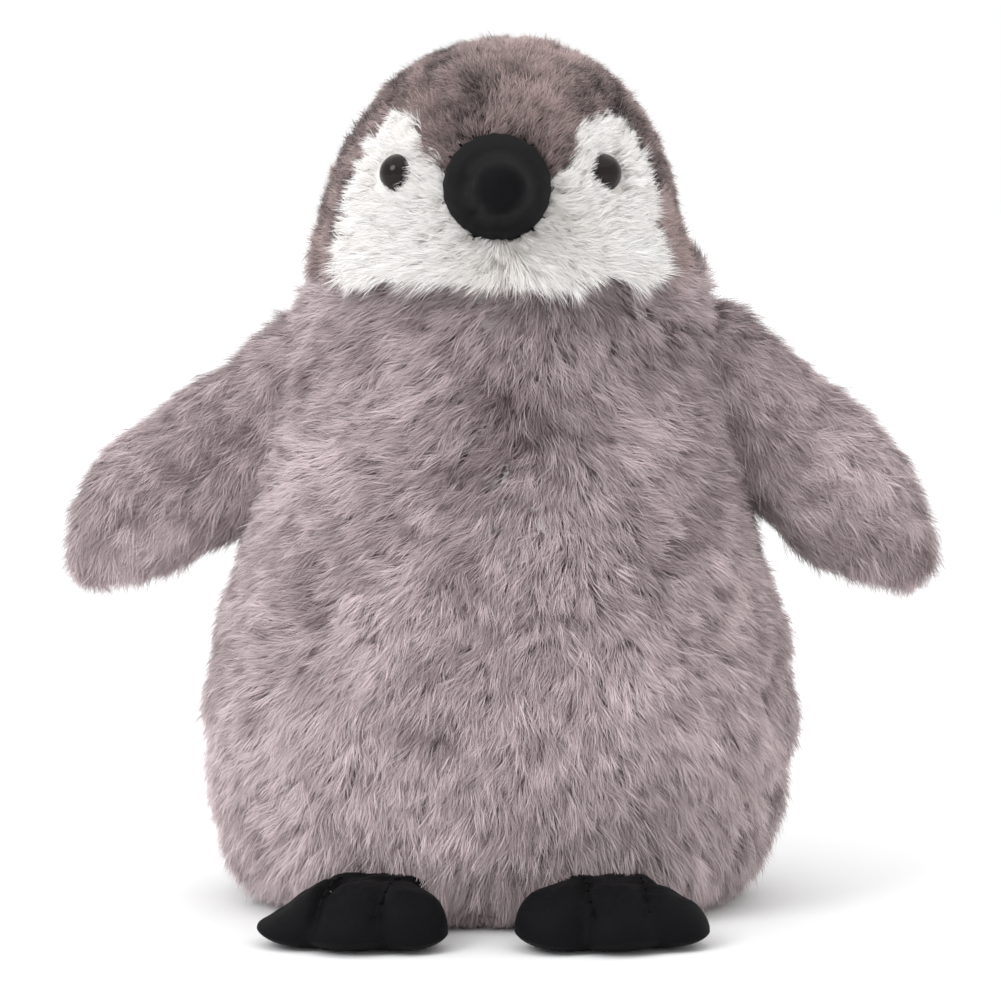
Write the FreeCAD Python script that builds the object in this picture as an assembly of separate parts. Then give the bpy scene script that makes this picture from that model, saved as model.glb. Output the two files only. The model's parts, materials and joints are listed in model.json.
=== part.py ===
import FreeCAD, Part
import math
import os

from FreeCAD import Matrix, Rotation, Vector

# A standing plush penguin chick, in millimetres. +Z is up and it faces -Y, so its own left side is at
# +X. The origin is on the resting surface, under the middle of its box. The outer surfaces are those
# of the closed pile, so each fur panel's thickness is its backing cloth and its pile together.
#
# The body, head and flippers are turned as round solids and then flattened along Y. What cuts them
# is given in that round frame, so it is made before the flattening.

SIDES = {"left": 1, "right": -1}
FAR = 400.0
GAP = 0.4  # clearance between pieces that move past each other
SPARE = 1.0  # material under the base panel, which is trimmed off on the resting plane
UP = Vector(0, 0, 1)

# Body: half-widths against height
BODY_Y = 14.0
BODY_FLATTENING = 0.82
BODY_OUTLINE = [(60, 0), (73, 7), (81, 26), (85, 56), (82, 88), (74, 116), (66, 145), (60, 168), (54, 184)]
BODY_PANEL = 5.0
BASE_PANEL = 4.0
SIDE_SEAM_Y = 10.0

# Head: half-widths against the height above the neck, where it parts from the body
HEAD_Y = 9.0
HEAD_BOTTOM = 184.3
HEAD_TOP = 250.0
HEAD_FLATTENING = 0.94
HEAD_OUTLINE = [(53, 0), (52.2, 11), (50, 23.5), (46, 35), (39.5, 46.5), (29, 57.5), (16, 63.8)]
HEAD_PANEL = 4.0
CROWN_HALF_WIDTH = 30.0
CHEEK_OUTER_EDGE = [(44.5, 183), (45.5, 206), (32.5, 230.5)]
CHEEK_INNER_EDGE = [(27, 229.5), (21, 218), (15, 208)]
CHEEK_BELOW_BEAK = (0, 199)

# Beak and eyes
BEAK_X = -1.0
BEAK_BASE_Y = -30.0
BEAK_Z = 209.0
BEAK_RADIUS = 15.2
BEAK_RIM = 8.0
BEAK_OUTLINE = [(15, 13), (22, 9), (27, 4.8)]
BEAK_LENGTH = 30.0
BEAK_COVER = 1.5
BEAK_STITCHES = 22
EYE_RADIUS = 5.5
EYE_HEIGHT = 4.6
EYE_X = 31.0
EYE_Z = 212.5
EYE_TURN = 44.0
EYE_SINK = 2.6  # from the pile's surface down to the dome's flat back
SHANK_RADIUS = 1.6
SHANK_LENGTH = 10.0
WASHER_RADIUS = 5.0
WASHER_DEPTH = 5.0
WASHER_THICKNESS = 1.2
SEAT_GAP = 0.1

# Flippers: half-widths against the distance from the shoulder. The root is round about the shoulder.
SHOULDER_X = 60.0
SHOULDER_Z = 150.0
FLIPPER_ROOT = 24.0
FLIPPER_LENGTH = 81.0
FLIPPER_OUTLINE = [(20, 22.5), (42, 21.5), (60, 18), (73, 11.5)]
FLIPPER_FLATTENING = 0.66
FLIPPER_DROOP = 40.0
FLIPPER_PANEL = 4.0
FLIPPER_TRAVEL = [-8, 75]  # degrees that it lowers and lifts from rest

# Feet: heights against the distance in front of the ankle seam, which is where they hinge
FOOT_X = {"left": 28.5, "right": -34.5}
FOOT_SPLAY = {"left": 4.0, "right": 12.0}
ANKLE_Y = -36.0
ANKLE_RADIUS = 7.0
FOOT_REACH = 48.0
FOOT_TOP = [(14, 16.5), (28, 17), (40, 13.5)]
TOE_RADIUS = 5.5
FOOT_LIFT = 20.0
TOES = [(-15, 33.5, 12), (1.5, 35.1, 13), (16.5, 31, 11)]  # across, in front of the ankle, radius
FOOT_HALF_WIDTH = 21.0
FOOT_COVER = 1.5
TOE_CREASES = [-6.5, 9.5]
CREASE_STITCHES = [16, 22, 28, 34, 40]
CREASE_STITCH = 4.0

# Pellet pouch, low in the body
POUCH_OUTLINE = [(0, 0), (30, 0.8), (42, 5), (46, 15), (42, 25), (30, 29.2), (0, 30)]
POUCH_Z = 6.0
POUCH_CLOTH = 1.0

THREAD = 0.4
CLOSING_STITCHES = 9
CLOSING_BOTTOM = 60.0
CLOSING_PITCH = 5.0
CLOSING_HALF_WIDTH = 2.5
RIM_STITCH = 0.8


def smooth(points, start=None, end=None):
    """An edge through the points, with the given directions at its ends."""
    curve = Part.BSplineCurve()
    if start is None:
        curve.interpolate(Points=points)
    else:
        curve.interpolate(Points=points, InitialTangent=start, FinalTangent=end)
    return curve.toShape()


def straight(*points):
    return [Part.makeLine(a, b) for a, b in zip(points, points[1:])]


def filled(edges):
    return Part.Face(Part.Wire(Part.__sortEdges__(edges)))


def turned(edges, axis=UP):
    """The solid of revolution of a closed outline about an axis through the origin."""
    return filled(edges).revolve(Vector(), axis, 360)


def flattened(shape, ratio, place):
    """A round-frame solid, flattened along Y and put in its place."""
    matrix = Matrix()
    matrix.scale(1, ratio, 1)
    flat = shape.transformGeometry(matrix)
    flat.translate(place)
    return only(flat)


def only(shape):
    """The one solid of a shape, and an error if it has fallen apart."""
    if len(shape.Solids) != 1:
        raise ValueError(f"expected one solid and got {len(shape.Solids)}")
    return shape.Solids[0]


def block(low, high):
    size = high - low
    return Part.makeBox(size.x, size.y, size.z, low)


def above(z):
    return block(Vector(-FAR, -FAR, z), Vector(FAR, FAR, FAR))


def behind(y):
    return block(Vector(-FAR, y, -FAR), Vector(FAR, FAR, FAR))


def beside(x, side):
    """Everything further out than x on one side."""
    near, far = sorted((side * x, side * FAR))
    return block(Vector(near, -FAR, -FAR), Vector(far, FAR, FAR))


def rod(start, end, radius):
    along = end - start
    return Part.makeCylinder(radius, along.Length, start, along)


def body_outline(inset):
    return [Vector(r - inset, 0, max(z, BASE_PANEL if inset else 0)) for r, z in BODY_OUTLINE]


def pouch_outline(inset):
    """The pouch's edge from the bottom of the axis to its top, drawn in by inset."""
    half = max(r for r, z in POUCH_OUTLINE)
    height = POUCH_OUTLINE[-1][1]
    share = (half - inset) / half
    rise = (height - 2 * inset) / height
    points = [Vector(r * share, 0, POUCH_Z + inset + z * rise) for r, z in POUCH_OUTLINE]
    return smooth(points, Vector(1, 0, 0), Vector(-1, 0, 0)), points[0], points[-1]


def shoulder_pocket(side):
    """The room in the round-frame body that a flipper's root turns in and the flipper swings through."""
    radius = FLIPPER_ROOT + GAP
    half = (FLIPPER_ROOT * FLIPPER_FLATTENING + GAP) / BODY_FLATTENING
    start = Vector(side * SHOULDER_X, -half, SHOULDER_Z)
    edges = []
    for raised, across in zip(FLIPPER_TRAVEL, (-radius, radius)):
        turn = Rotation(Vector(0, 1, 0), FLIPPER_DROOP - raised)
        ends = [turn.multVec(Vector(along, 0, across)) for along in (0, FAR)]
        edges.append([start + Vector(side * p.x, 0, p.z) for p in ends])
    (low, low_far), (high, high_far) = edges
    swing = filled(straight(low, low_far, high_far, high, low)).extrude(Vector(0, 2 * half, 0))
    return Part.makeCylinder(radius, 2 * half, start, Vector(0, 1, 0)).fuse(swing)


def foot_pocket(name):
    """The room under the round-frame body's front edge that a foot lifts into."""
    lift = Rotation(Vector(1, 0, 0), -FOOT_LIFT)
    ankle = Vector(0, 0, ANKLE_RADIUS)
    rear = ANKLE_RADIUS + GAP
    roof = [Vector(0, -s, z + 3 * GAP) for s, z in FOOT_TOP[:2]]
    roof = [ankle + lift.multVec(p - ankle) for p in roof]
    floor = -2 * SPARE
    edge = [Vector(0, rear, floor), Vector(0, rear, 1.2 * ANKLE_RADIUS), Vector(0, rear / 2, rear + ANKLE_RADIUS)]
    edge += roof + [Vector(0, -FAR, roof[-1].z), Vector(0, -FAR, floor)]
    edge = [Vector(0, (p.y + ANKLE_Y - BODY_Y) / BODY_FLATTENING, p.z) for p in edge]
    half = FOOT_HALF_WIDTH + ANKLE_RADIUS
    face = Part.Face(Part.makePolygon(edge + edge[:1]))
    face.translate(Vector(FOOT_X[name] - half, 0, 0))
    return face.extrude(Vector(2 * half, 0, 0))


def make_body():
    outer = body_outline(0)
    inner = body_outline(BODY_PANEL)
    floor = Vector(0, 0, BASE_PANEL)
    neck = Vector(0, 0, outer[-1].z)
    pockets = [shoulder_pocket(side) for side in SIDES.values()]
    pockets += [foot_pocket(name) for name in SIDES]
    skin = [smooth(outer), smooth(inner)]
    below = [Vector(r, 0, -SPARE) for r in (0, outer[0].x)]
    skin += straight(outer[-1], inner[-1]) + straight(inner[0], floor, *below, outer[0])
    skin = turned(skin).cut(pockets)
    wall = skin.common(above(BASE_PANEL))
    seam = behind((SIDE_SEAM_Y - BODY_Y) / BODY_FLATTENING)
    back = wall.common(seam)
    pouch, bottom, top = pouch_outline(0)
    fill, fill_bottom, fill_top = pouch_outline(POUCH_CLOTH)
    stuffing = [smooth(inner), pouch] + straight(inner[-1], neck, top) + straight(bottom, floor, inner[0])
    cloth = [pouch, fill] + straight(top, fill_top) + straight(bottom, fill_bottom)
    round_parts = {
        "body_front_panel": wall.cut(seam),
        "body_back_panel_left": back.common(beside(0, 1)),
        "body_back_panel_right": back.common(beside(0, -1)),
        "body_base_panel": skin.cut(above(BASE_PANEL)),
        "body_stuffing": turned(stuffing).cut(pockets),
        "pellet_pouch": turned(cloth),
        "pellet_fill": turned([fill] + straight(fill_top, fill_bottom)),
    }
    place = Vector(0, BODY_Y, 0)
    parts = {name: flattened(shape, BODY_FLATTENING, place) for name, shape in round_parts.items()}
    parts["body_base_panel"] = only(parts["body_base_panel"].common(above(0)))
    parts["closing_stitches"] = closing_stitches(parts["body_back_panel_left"])
    return parts


def closing_stitches(panel):
    """The hand stitches that close the stuffing hole in the back seam."""
    stitches = []
    for i in range(CLOSING_STITCHES):
        z = CLOSING_BOTTOM + i * CLOSING_PITCH
        line = Part.makeLine(Vector(1, BODY_Y, z), Vector(1, FAR, z))
        y = line.common(panel).BoundBox.YMax
        reach = Vector(CLOSING_HALF_WIDTH, 0, 1)
        stitches.append(rod(Vector(0, y, z) - reach, Vector(0, y, z) + reach, THREAD))
    return Part.makeCompound(stitches)


def head_outline(inset):
    """The dome's edge and its two ends, drawn in by inset all round but not at the neck."""
    half, height = HEAD_OUTLINE[0][0], HEAD_TOP - HEAD_BOTTOM
    share = (half - inset) / half
    rise = (height - inset) / height
    points = [Vector(r * share, 0, z * rise) for r, z in HEAD_OUTLINE]
    top = Vector(0, 0, height * rise)
    return smooth(points + [top], UP, Vector(-1, 0, 0)), points[0], top


def cheek_prism(side):
    """The part of the round-frame head's front that one white face panel covers."""
    outer = [Vector(side * x, 0, z - HEAD_BOTTOM) for x, z in CHEEK_OUTER_EDGE]
    inner = [Vector(side * x, 0, z - HEAD_BOTTOM) for x, z in CHEEK_INNER_EDGE]
    below = Vector(side * CHEEK_BELOW_BEAK[0], 0, CHEEK_BELOW_BEAK[1] - HEAD_BOTTOM)
    chin = Vector(0, 0, outer[0].z)
    edges = [Part.Arc(*outer).toShape(), Part.Arc(*inner).toShape()]
    edges += straight(outer[-1], inner[0]) + straight(inner[-1], below, chin, outer[0])
    return filled(edges).extrude(Vector(0, -FAR, 0))


def make_head():
    dome, low, top = head_outline(0)
    inner_dome, inner_low, inner_top = head_outline(HEAD_PANEL)
    beak_start = Vector(BEAK_X, (BEAK_BASE_Y - HEAD_Y) / HEAD_FLATTENING, BEAK_Z - HEAD_BOTTOM)
    beak_hole = Part.makeCylinder(BEAK_RADIUS, FAR, beak_start, Vector(0, -1, 0))
    fur = turned([dome, inner_dome] + straight(low, inner_low) + straight(inner_top, top)).cut(beak_hole)
    stuffing = turned([inner_dome] + straight(inner_top, Vector(), inner_low)).cut(beak_hole)
    cheeks = {name: cheek_prism(side) for name, side in SIDES.items()}
    sides = {name: beside(CROWN_HALF_WIDTH, side) for name, side in SIDES.items()}
    round_parts = {
        "crown_panel": fur.cut(list(sides.values()) + list(cheeks.values())),
        "head_stuffing": stuffing,
    }
    for name in SIDES:
        round_parts[f"face_panel_{name}"] = fur.common(cheeks[name])
        round_parts[f"head_side_panel_{name}"] = fur.common(sides[name]).cut(cheeks[name])
    place = Vector(0, HEAD_Y, HEAD_BOTTOM)
    parts = {name: flattened(shape, HEAD_FLATTENING, place) for name, shape in round_parts.items()}
    for name, side in SIDES.items():
        face = parts[f"face_panel_{name}"]
        seat = front_point(face, side * EYE_X, EYE_Z)
        eye, washer = eye_parts(side, seat, 0)
        room = eye_parts(side, seat, SEAT_GAP)
        parts[f"face_panel_{name}"] = only(face.cut(room))
        parts["head_stuffing"] = only(parts["head_stuffing"].cut(room))
        parts[f"eye_{name}"] = eye
        parts[f"eye_washer_{name}"] = washer
    parts["beak_edge_stitches"] = beak_edge_stitches(parts)
    return parts | make_beak()


def front_point(shape, x, z):
    """The point of a shape's front surface at x and z, or None where it has none."""
    line = Part.makeLine(Vector(x, -FAR, z), Vector(x, 0, z)).common(shape)
    return Vector(x, line.BoundBox.YMin, z) if line.Edges else None


def eye_parts(side, skin, room):
    """A safety eye, which is a dome with its shank, and its washer, both grown by room."""
    dome_radius = (EYE_RADIUS**2 + EYE_HEIGHT**2) / (2 * EYE_HEIGHT)
    ball = Part.makeSphere(dome_radius + room, Vector(0, 0, EYE_HEIGHT - dome_radius))
    dome = ball.common(above(-room))
    shank = Part.makeCylinder(SHANK_RADIUS + room, SHANK_LENGTH + room, Vector(0, 0, -SHANK_LENGTH - room))
    low = EYE_SINK - WASHER_DEPTH - WASHER_THICKNESS - room
    washer = Part.makeCylinder(WASHER_RADIUS + room, WASHER_THICKNESS + 2 * room, Vector(0, 0, low))
    pieces = [only(dome.fuse(shank)), only(washer.cut(shank))]
    turn = math.radians(EYE_TURN)
    outward = Vector(side * math.sin(turn), -math.cos(turn), 0)
    for piece in pieces:
        piece.rotate(Vector(), Vector(1, 0, 0), 90)
        piece.rotate(Vector(), UP, side * EYE_TURN)
        piece.translate(skin - outward * EYE_SINK)
    return pieces


def beak_outline(inset):
    tip = Vector(BEAK_LENGTH - inset, 0, 0)
    rim = Vector(BEAK_RIM, 0, BEAK_RADIUS - inset)
    base = Vector(inset, 0, BEAK_RADIUS - inset)
    cone = [rim] + [Vector(s, 0, r - inset) for s, r in BEAK_OUTLINE] + [tip]
    return [smooth(cone, Vector(1, 0, 0), Vector(0, 0, -1))] + straight(rim, base, Vector(inset, 0, 0)), tip


def make_beak():
    """The beak's cover, a hollow cone, and its stuffing."""
    outer, tip = beak_outline(0)
    inner, inner_tip = beak_outline(BEAK_COVER)
    base, inner_base = Vector(), Vector(BEAK_COVER, 0, 0)
    axis = Vector(1, 0, 0)
    cover = turned(outer + inner + straight(tip, inner_tip) + straight(base, inner_base), axis)
    parts = {"beak_cover": only(cover), "beak_stuffing": only(turned(inner + straight(inner_tip, inner_base), axis))}
    for piece in parts.values():
        piece.rotate(Vector(), UP, -90)
        piece.translate(Vector(BEAK_X, BEAK_BASE_Y, BEAK_Z))
    return parts


def beak_edge_stitches(head):
    """The small stitches round the beak's rim, each lying across the edge."""
    panels = [shape for name, shape in head.items() if "panel" in name]
    stitches = []
    for i in range(BEAK_STITCHES):
        angle = 2 * math.pi * i / BEAK_STITCHES
        out = Vector(math.cos(angle), 0, math.sin(angle))
        rim = Vector(BEAK_X, 0, BEAK_Z) + out * (BEAK_RADIUS + RIM_STITCH)
        rim = min((p for p in (front_point(panel, rim.x, rim.z) for panel in panels) if p), key=lambda p: p.y)
        stitches.append(rod(rim - out * 2 * RIM_STITCH, rim, THREAD))
    return Part.makeCompound(stitches)


def flipper_outline(inset):
    """The flipper's edge and its two ends on the axis, drawn in by inset."""
    root = FLIPPER_ROOT - inset
    back, top = Vector(-root, 0, 0), Vector(0, 0, root)
    tip = Vector(FLIPPER_LENGTH - inset, 0, 0)
    slant = root * math.sqrt(0.5)
    arc = Part.Arc(back, Vector(-slant, 0, slant), top).toShape()
    edge = [top] + [Vector(s, 0, r - inset) for s, r in FLIPPER_OUTLINE] + [tip]
    return [arc, smooth(edge, Vector(1, 0, 0), Vector(0, 0, -1))], back, tip


def make_flipper(name):
    side = SIDES[name]
    outer, back, tip = flipper_outline(0)
    inner, inner_back, inner_tip = flipper_outline(FLIPPER_PANEL)
    axis = Vector(1, 0, 0)
    skin = turned(outer + inner + straight(back, inner_back) + straight(inner_tip, tip), axis)
    round_parts = {
        "front_panel": skin.cut(behind(0)),
        "back_panel": skin.common(behind(0)),
        "stuffing": turned(inner + straight(inner_tip, inner_back), axis),
    }
    parts = {}
    for part, shape in round_parts.items():
        flipper = flattened(shape, FLIPPER_FLATTENING, Vector())
        flipper.rotate(Vector(), Vector(0, 1, 0), FLIPPER_DROOP)
        if side < 0:
            flipper = flipper.mirror(Vector(), Vector(1, 0, 0))
        flipper.translate(Vector(side * SHOULDER_X, BODY_Y, SHOULDER_Z))
        parts[f"flipper_{name}_{part}"] = flipper
    return parts


def foot_side_face(inset):
    """The foot's outline from the side, with the ankle's axis over the origin."""
    r = ANKLE_RADIUS - inset
    low, high = Vector(0, 0, inset), Vector(0, 0, ANKLE_RADIUS + r)
    toe = TOE_RADIUS - inset
    front = Vector(0, inset - FOOT_REACH, TOE_RADIUS)
    under = Vector(0, TOE_RADIUS - FOOT_REACH, inset)
    round_off = toe * (1 - math.sqrt(0.5))
    bend = Vector(0, front.y + round_off, inset + round_off)
    top = [high] + [Vector(0, -s, z - inset) for s, z in FOOT_TOP] + [front]
    instep = smooth(top, Vector(0, -1, 0), Vector(0, 0, -1))
    heel = Part.Arc(low, Vector(0, r, ANKLE_RADIUS), high).toShape()
    return filled([heel, instep, Part.Arc(front, bend, under).toShape()] + straight(under, low))


def foot_solid(name, inset):
    """A foot: three toes and the web between them, with a round heel that hinges in the body."""
    heel = FOOT_HALF_WIDTH - inset
    rear = 2 * ANKLE_RADIUS
    web = [Vector(-heel, rear, 0), Vector(heel, rear, 0)]
    for across, ahead, radius in (TOES[-1], TOES[0]):
        edge = math.copysign(radius - inset, across)
        web.append(Vector(across + edge, -ahead, 0))
    plan = Part.Face(Part.makePolygon(web + web[:1])).extrude(Vector(0, 0, FAR))
    plan = plan.fuse([Part.makeCylinder(r - inset, FAR, Vector(x, -y, 0)) for x, y, r in TOES])
    plan.rotate(Vector(), UP, FOOT_SPLAY[name] * SIDES[name])
    side = foot_side_face(inset)
    side.translate(Vector(-FAR, 0, 0))
    foot = plan.common(side.extrude(Vector(2 * FAR, 0, 0)))
    foot.translate(Vector(FOOT_X[name], ANKLE_Y, 0))
    return only(foot)


def make_foot(name):
    outer = foot_solid(name, 0)
    inner = foot_solid(name, FOOT_COVER)
    above_sole = above(FOOT_COVER)
    return {
        f"foot_{name}_upper": only(outer.common(above_sole).cut(inner)),
        f"foot_{name}_sole": only(outer.cut(above_sole)),
        f"foot_{name}_stuffing": inner,
        f"toe_stitches_{name}": toe_stitches(name, outer),
    }


def toe_stitches(name, foot):
    """The running stitches that draw the creases between the toes, lying on the instep."""
    stitches = []
    splay = Rotation(UP, FOOT_SPLAY[name] * SIDES[name])
    for across in TOE_CREASES:
        for ahead in CREASE_STITCHES:
            ends = []
            for distance in (ahead, ahead + CREASE_STITCH):
                spot = splay.multVec(Vector(across, -distance, 0)) + Vector(FOOT_X[name], ANKLE_Y, 0)
                line = Part.makeLine(spot, spot + Vector(0, 0, FAR))
                ends.append(Vector(spot.x, spot.y, line.common(foot).BoundBox.ZMax))
            stitches.append(rod(*ends, THREAD))
    return Part.makeCompound(stitches)


def main():
    parts = make_body() | make_head()
    for name in SIDES:
        parts |= make_flipper(name) | make_foot(name)
    os.makedirs("parts", exist_ok=True)
    for name, shape in parts.items():
        print(f"{name}: {shape.Volume / 1000:.2f} cm3, valid {shape.isValid()}")
        shape.exportStep(f"parts/{name}.step")


main()
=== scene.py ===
"""A standing plush penguin chick: cloth panels, hair by hair pile, velour feet and beak, and glossy eyes.

Lengths are metres, in the frame of the part: +Z is up and the penguin faces -Y, so its own left is at +X.
"""

import json
import math
from types import SimpleNamespace

import bpy
import numpy as np
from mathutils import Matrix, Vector
from mathutils.bvhtree import BVHTree


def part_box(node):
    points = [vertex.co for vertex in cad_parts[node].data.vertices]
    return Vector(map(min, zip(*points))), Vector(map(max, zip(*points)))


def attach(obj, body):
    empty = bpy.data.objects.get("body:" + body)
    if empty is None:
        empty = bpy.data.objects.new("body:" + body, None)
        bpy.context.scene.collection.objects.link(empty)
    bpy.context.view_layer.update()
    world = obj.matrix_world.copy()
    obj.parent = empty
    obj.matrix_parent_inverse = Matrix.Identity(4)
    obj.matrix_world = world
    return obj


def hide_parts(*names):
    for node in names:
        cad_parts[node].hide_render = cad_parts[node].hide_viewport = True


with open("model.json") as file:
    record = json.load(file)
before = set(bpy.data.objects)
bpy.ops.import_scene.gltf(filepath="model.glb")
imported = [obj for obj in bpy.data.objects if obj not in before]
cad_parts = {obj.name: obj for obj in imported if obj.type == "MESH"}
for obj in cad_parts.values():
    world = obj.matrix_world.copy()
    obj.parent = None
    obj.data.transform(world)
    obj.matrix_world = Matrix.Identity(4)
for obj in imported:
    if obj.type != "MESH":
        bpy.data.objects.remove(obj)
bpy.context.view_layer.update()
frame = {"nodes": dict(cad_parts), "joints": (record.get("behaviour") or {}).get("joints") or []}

MM = 0.001
SIDES = {"left": 1, "right": -1}
FORWARD = np.array([0.0, -1.0, 0.0])
BACKWARD = -FORWARD
RIGHTWARD = np.array([1.0, 0.0, 0.0])
UPWARD = np.array([0.0, 0.0, 1.0])

BODY_PANELS = ["body_front_panel", "body_back_panel_left", "body_back_panel_right"]
HEAD_PANELS = [
    "crown_panel",
    "head_side_panel_left",
    "head_side_panel_right",
    "face_panel_left",
    "face_panel_right",
]
FACE_PANELS = {"face_panel_left", "face_panel_right"}

# The CAD part's own proportions and places
BODY_FLATTENING = 0.82
BODY_CENTRE_Y = 14 * MM
HEAD_FLATTENING = 0.94
HEAD_CENTRE_Y = 9 * MM
FLIPPER_FLATTENING = 0.66
FLIPPER_DROOP = math.radians(40)
FLIPPER_ROOT = 24 * MM
FLIPPER_TIP = 81 * MM
BEAK_ROOT = np.array([-1, -45, 207]) * MM
EYE_TURN = math.radians(44)
EYE_DOME = 4 * MM  # how far the glossy dome is outside the middle of the whole eye

# The surfaces that hair is planted on
PROFILE_ROWS = 90
PROBE_OFFSET = 2 * MM  # beside the middle seam, where a ray meets cloth and not the join
SURFACE_INSET = 0.1 * MM  # how far short of a panel's edge its profile is read

# Camera
CAMERA_TARGET = Vector((0, 0, 117.5 * MM))
CAMERA_DISTANCE = 1.5
CAMERA_ELEVATION = math.radians(6)
CAMERA_LENS = 187.5

# The floor and the light
FLOOR_REACH = 4.0
KEY_PLACE = (-1.2, -1.2, 1.3)
KEY_SIZE = 1.0
KEY_POWER = 17
KEY_COLOUR = (0.95, 0.97, 1.0)
LIGHT_TARGET = Vector((0, 0, 0.12))
CEILING_STRENGTH = 0.9
CEILING_SPREAD = math.radians(100)


# ---------------------------------------------------------------------------------------------------
# Numbers, noise and meshes


def joint_place(name):
    return np.array(next(joint["pos_m"] for joint in frame["joints"] if joint["name"] == name))


def unit(vectors):
    return vectors / np.maximum(np.linalg.norm(vectors, axis=-1, keepdims=True), 1e-12)


def dot(a, b):
    return (a * b).sum(-1, keepdims=True)


def step(low, high, values):
    """Goes smoothly from 0 at low to 1 at high."""
    t = np.clip((values - low) / (high - low), 0, 1)
    return t * t * (3 - 2 * t)


def bump(values, centre, width):
    return np.exp(-(((values - centre) / width) ** 2))


def rounded(points, times=4):
    """A polyline with its corners cut again and again, so that it turns smoothly."""
    points = np.asarray(points, float)
    for _ in range(times):
        near = points[:-1] * 0.75 + points[1:] * 0.25
        far = points[:-1] * 0.25 + points[1:] * 0.75
        inner = np.stack([near, far], axis=1).reshape(-1, points.shape[1])
        points = np.vstack([points[:1], inner, points[-1:]])
    return points


class Noise:
    """Smooth noise between about -1 and 1: a sum of plane waves in random directions."""

    def __init__(self, seed, wavelength, waves=14):
        rng = np.random.default_rng(seed)
        directions = unit(rng.normal(size=(waves, 3)))
        pitch = rng.uniform(0.7, 1.4, (waves, 1)) / wavelength
        self.waves = directions * pitch * 2 * np.pi
        self.phases = rng.uniform(0, 2 * np.pi, waves)

    def __call__(self, points):
        return np.sin(points @ self.waves.T + self.phases).mean(-1) * 2.2


def make_mesh(name, points, corners, sizes, materials, slots=None):
    """A smooth mesh object from its points, its faces' corners one after another, and their sizes."""
    mesh = bpy.data.meshes.new(name)
    mesh.vertices.add(len(points))
    mesh.vertices.foreach_set("co", np.asarray(points, np.float32).ravel())
    mesh.loops.add(len(corners))
    mesh.loops.foreach_set("vertex_index", np.asarray(corners, np.int32))
    mesh.polygons.add(len(sizes))
    starts = np.concatenate(([0], np.cumsum(sizes)[:-1]))
    mesh.polygons.foreach_set("loop_start", starts.astype(np.int32))
    for material in materials:
        mesh.materials.append(material)
    if slots is not None:
        mesh.polygons.foreach_set("material_index", np.asarray(slots, np.int32))
    mesh.update(calc_edges=True)
    mesh.shade_smooth()
    made = bpy.data.objects.new(name, mesh)
    bpy.context.scene.collection.objects.link(made)
    return made


def ring_faces(rows, columns):
    """Quads between rings of points, where each ring's last point is joined to its first."""
    row, column = np.meshgrid(np.arange(rows - 1), np.arange(columns), indexing="ij")
    beside = (column + 1) % columns
    quads = np.stack(
        [
            row * columns + column,
            row * columns + beside,
            (row + 1) * columns + beside,
            (row + 1) * columns + column,
        ],
        axis=-1,
    )
    return quads.reshape(-1, 4)


def finish_piece(piece, body, slot, *nodes):
    """Says which body a piece moves with and which CAD nodes it stands in for; the slot is not used."""
    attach(piece, body)
    if nodes:
        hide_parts(*nodes)
    return piece


# ---------------------------------------------------------------------------------------------------
# Materials


def new_material(name):
    """A material and its shader."""
    material = bpy.data.materials.new(name)
    material.use_nodes = True
    return material, material.node_tree.nodes["Principled BSDF"]


def hair_material(name, colour):
    material, shader = new_material(name)
    shader.inputs["Base Color"].default_value = (*colour, 1)
    shader.inputs["Roughness"].default_value = 0.6
    shader.inputs["Specular IOR Level"].default_value = 0.3
    shader.inputs["Sheen Weight"].default_value = 0.3
    shader.inputs["Sheen Roughness"].default_value = 0.45
    return material


def hair_shades(name, dark, light, count=7):
    """One material for each shade of a pile, from the darkest to the lightest."""
    dark, light = np.array(dark), np.array(light)
    shares = np.linspace(0, 1, count)
    return [hair_material(f"{name}_{i}", dark + (light - dark) * s) for i, s in enumerate(shares)]


def pattern_texture(nodes, kind):
    """A procedural texture of one kind, and its level from dark to light."""
    if kind == "weave":
        pattern = nodes.new("ShaderNodeTexWave")
        pattern.inputs["Distortion"].default_value = 2.0
        pattern.inputs["Detail"].default_value = 3.0
        return pattern, pattern.outputs["Fac"]
    if kind == "grains":
        pattern = nodes.new("ShaderNodeTexVoronoi")
        return pattern, pattern.outputs["Distance"]
    pattern = nodes.new("ShaderNodeTexNoise")
    pattern.inputs["Detail"].default_value = 6.0
    return pattern, pattern.outputs["Fac"]


def colour_ramp(nodes, dark, light):
    ramp = nodes.new("ShaderNodeValToRGB")
    ramp.color_ramp.elements[0].position = 0.3
    ramp.color_ramp.elements[0].color = (*dark, 1)
    ramp.color_ramp.elements[1].position = 0.72
    ramp.color_ramp.elements[1].color = (*light, 1)
    return ramp


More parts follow.
